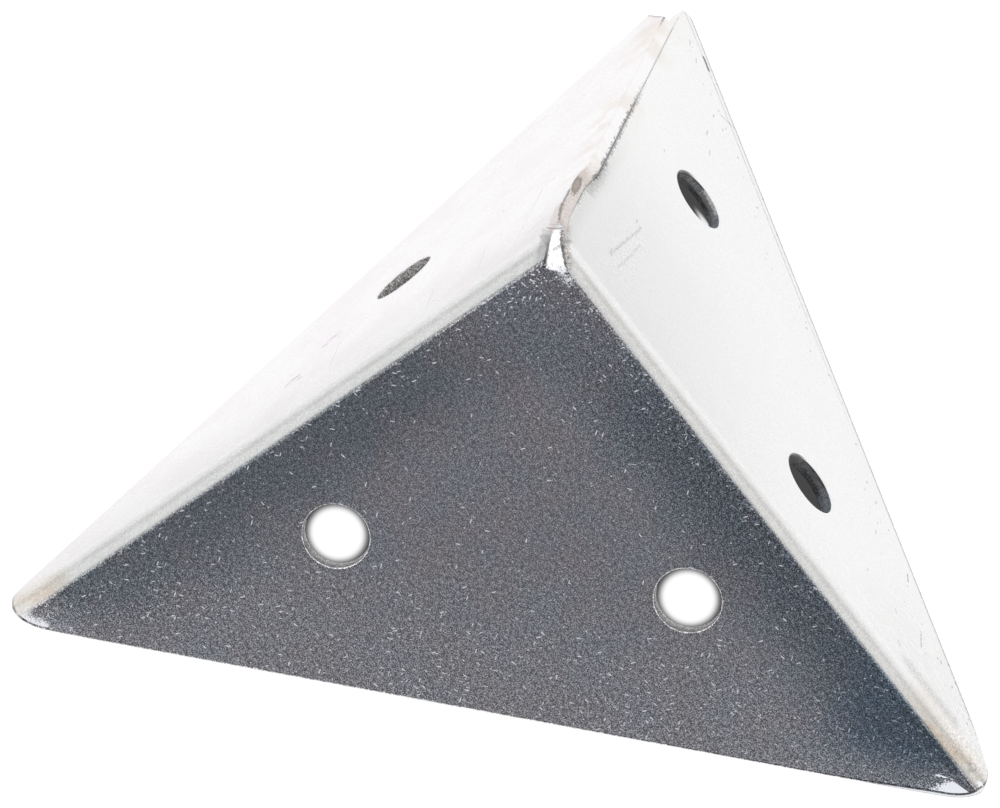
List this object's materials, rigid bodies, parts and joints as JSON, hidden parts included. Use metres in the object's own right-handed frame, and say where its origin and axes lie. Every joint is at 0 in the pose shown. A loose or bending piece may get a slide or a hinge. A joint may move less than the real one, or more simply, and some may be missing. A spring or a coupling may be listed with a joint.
{
  "type": "pyramid corner",
  "caption": "Folded steel corner plate with three triangular faces, open at the base, and screw holes for fixing over the corner of a box or frame.",
  "frame": {"origin": "centre of the open base, in the plane of the cut edges, straight below the peak", "axes": "+Z from the open base to the peak, -Y towards the front face that carries both folds, +Y towards the back tip where the seam ends, +X towards the tip of the right fold"},
  "size_m": [0.0812, 0.0707, 0.0339],
  "materials": {
    "zinc_steel": "thin bright zinc plating on rolled steel sheet, scuffed, with brown stains beside the seam and at the tips"
  },
  "bodies": {
    "root": {"corner_plate": "zinc_steel"}
  },
  "joints": []
}
